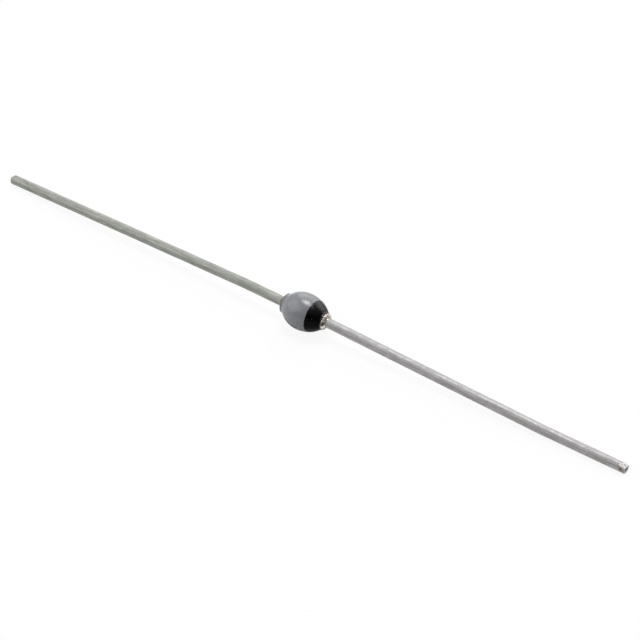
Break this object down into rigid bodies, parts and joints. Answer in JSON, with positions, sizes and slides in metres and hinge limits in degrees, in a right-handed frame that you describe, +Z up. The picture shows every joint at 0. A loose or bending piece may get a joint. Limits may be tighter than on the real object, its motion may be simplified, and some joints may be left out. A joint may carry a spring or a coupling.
{
  "type": "axial glass-bead rectifier diode",
  "caption": "Axial rectifier diode: a grey fused-glass bead with a black cathode band at one end, and a straight tinned wire lead out of each end, lying on its side.",
  "frame": {"origin": "on the supporting surface under the widest circle of the bead, which is the middle of the diode's width, and of its length to within half a millimetre", "axes": "+X along the bead's axis towards the cathode lead (the banded end), +Z up from the surface it lies on, which the bead's belly and the tips of both leads touch; both tips lean a little towards +Y"},
  "size_m": [0.0616, 0.003, 0.0031],
  "materials": {
    "grey_glass": "opaque mid-grey sintered glass, glossy as enamel",
    "black_ink": "glossy black fired paint",
    "silicon": "lapped silicon, dark blue-grey and metallic",
    "braze": "silver-copper braze, satin",
    "molybdenum": "turned molybdenum, satin grey",
    "weld_metal": "rough tinned weld metal with bright lumps",
    "tinned_wire": "dull hot-tinned copper wire, mottled and lightly streaked along its length"
  },
  "bodies": {
    "root": {"glass_bead": "grey_glass", "cathode_band": "black_ink", "silicon_die": "silicon", "anode_braze": "braze", "cathode_braze": "braze", "anode_stud": "molybdenum", "cathode_stud": "molybdenum", "anode_weld_collar": "weld_metal", "cathode_weld_collar": "weld_metal", "anode_lead": "tinned_wire", "cathode_lead": "tinned_wire"}
  },
  "joints": []
}
